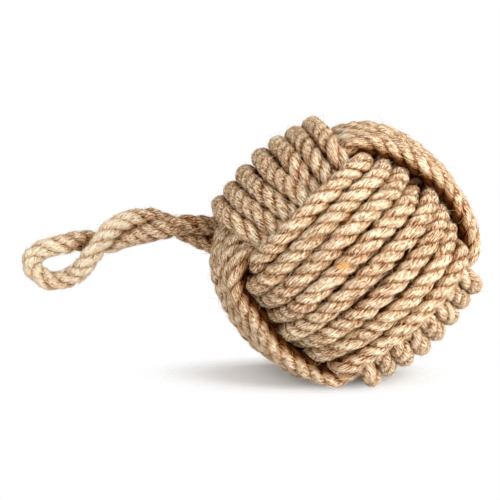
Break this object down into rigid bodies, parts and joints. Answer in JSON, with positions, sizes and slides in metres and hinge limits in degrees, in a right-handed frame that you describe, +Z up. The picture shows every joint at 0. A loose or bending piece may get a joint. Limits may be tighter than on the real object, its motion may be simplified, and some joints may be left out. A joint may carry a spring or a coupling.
{
  "type": "rope knot doorstop",
  "caption": "Ball doorstop: thick jute rope tied in a monkey's fist round a sand bag, with a rope loop to carry it by.",
  "frame": {"origin": "on the floor, on the flat of the pass that the ball stands on, just off the middle of the ball", "axes": "+X from the carry loop to the ball, +Z up"},
  "size_m": [0.2985, 0.166, 0.1642],
  "materials": {
    "sand_fill": "loose dry sand",
    "sand_bag": "brown cotton",
    "bag_tie": "twisted twine",
    "first_wraps": "rough jute",
    "second_wraps": "rough jute",
    "third_wraps": "rough jute",
    "lower_leg": "rough jute",
    "upper_leg": "rough jute",
    "carry_eye": "rough jute"
  },
  "bodies": {
    "ball": {"sand_fill": "sand_fill", "sand_bag": "sand_bag", "bag_tie": "bag_tie", "first_wraps": "first_wraps", "second_wraps": "second_wraps", "third_wraps": "third_wraps"},
    "stem": {"lower_leg": "lower_leg", "upper_leg": "upper_leg"},
    "eye": {"carry_eye": "carry_eye"}
  },
  "joints": [
    {"name": "loop_swing", "type": "hinge", "parent": "ball", "child": "stem", "pos_m": [-0.09494, 0.04693, 0.08352], "axis": [0.0293, -0.0176, 0.9994], "range_deg": [-30, 32]},
    {"name": "loop_lift", "type": "hinge", "parent": "stem", "child": "eye", "pos_m": [-0.12554, 0.04297, 0.08952], "axis": [0, 0.9878, -0.156], "range_deg": [-35, 60]}
  ]
}
